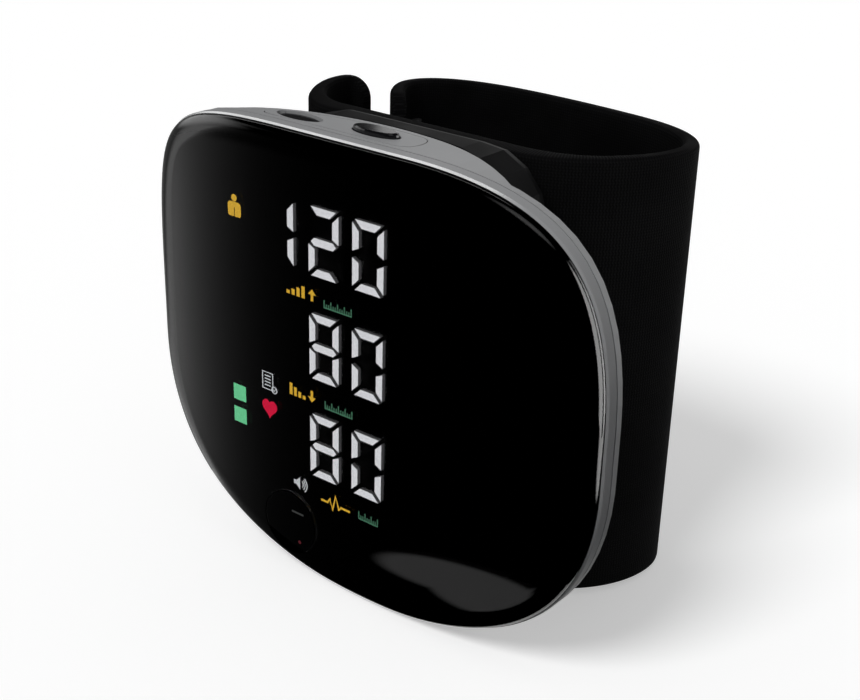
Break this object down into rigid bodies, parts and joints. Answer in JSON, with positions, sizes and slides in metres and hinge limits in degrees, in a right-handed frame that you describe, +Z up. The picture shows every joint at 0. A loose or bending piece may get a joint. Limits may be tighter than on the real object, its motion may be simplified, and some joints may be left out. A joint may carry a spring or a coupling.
{
  "type": "wrist_blood_pressure_monitor",
  "caption": "Wrist blood pressure monitor: slim rounded case with a glossy face and lit display, two keys on top, on a preformed black wrist cuff.",
  "frame": {"origin": "centre of the bounding box's bottom face", "axes": "+X runs to the right as the display is read, +Y runs from the display to the cuff, +Z is up along the cuff's loop"},
  "size_m": [0.0806, 0.0502, 0.0707],
  "materials": {
    "window": "polished, tinted almost black",
    "bright_frame": "polished chamfer on a satin frame",
    "satin_shell": "satin grey",
    "black_shell": "fine satin",
    "key_gloss": "polished black",
    "mask": "matt black",
    "lit_guide": "lit white diffuser",
    "module": "moulded",
    "board": "solder mask green",
    "chip": "moulded black",
    "steel": "plain",
    "foil": "foil",
    "rubber": "matt",
    "silicone": "milky",
    "pump_plastic": "moulded grey",
    "cuff_fabric": "fine knit, black",
    "hook_tape": "hook tape"
  },
  "bodies": {
    "case": {"front_lens": "window", "display_mask": "mask", "lens_gasket": "rubber", "front_bezel": "bright_frame", "light_guide": "lit_guide", "led_module": "module", "start_switch": "steel", "display_board": "board", "board_screw_1": "steel", "board_screw_2": "steel", "board_screw_3": "steel", "board_screw_4": "steel", "main_board": "board", "board_spacer_1": "steel", "board_spacer_2": "steel", "board_spacer_3": "steel", "board_spacer_4": "steel", "board_connector": "chip", "controller_chip": "chip", "memory_chip": "chip", "rear_housing": "satin_shell", "button_plate": "satin_shell", "memory_switch": "chip", "user_switch": "chip", "key_board": "board", "back_cover": "black_shell", "cover_screw_1": "steel", "cover_screw_2": "steel", "cover_screw_3": "steel", "cover_screw_4": "steel", "cell_pad": "rubber", "battery_cell": "foil", "charging_socket": "steel", "charging_board": "board", "pump_motor": "steel", "pump_sleeve": "rubber", "pump_head": "pump_plastic", "air_tube": "silicone", "air_manifold": "silicone", "air_valve": "steel", "pressure_sensor": "pump_plastic", "air_nozzle": "pump_plastic", "nozzle_seal": "rubber", "speaker": "steel", "strap_plate": "black_shell", "cuff_sleeve": "cuff_fabric", "cuff_stiffener": "pump_plastic", "air_bladder": "rubber"},
    "start": {"start_button": "window"},
    "memory": {"memory_key": "key_gloss"},
    "user": {"user_key": "key_gloss"},
    "flap": {"cuff_flap": "cuff_fabric", "hook_patch": "hook_tape"}
  },
  "joints": [
    {"name": "start_press", "type": "slide", "parent": "case", "child": "start", "axis": [0, 1, 0], "range_m": [0, 0.0005], "stiffness_N_per_m": 500},
    {"name": "memory_press", "type": "slide", "parent": "case", "child": "memory", "axis": [0, 0, -1], "range_m": [0, 0.0006], "stiffness_N_per_m": 450, "springref_m": -0.0003},
    {"name": "user_press", "type": "slide", "parent": "case", "child": "user", "axis": [0, 0, -1], "range_m": [0, 0.0006], "stiffness_N_per_m": 450, "springref_m": -0.0003},
    {"name": "cuff_opening", "type": "hinge", "parent": "case", "child": "flap", "pos_m": [0.02458, -0.00192, 0.03385], "axis": [0, 0, -1], "range_deg": [0, 70], "stiffness_Nm_per_rad": 0.02}
  ]
}
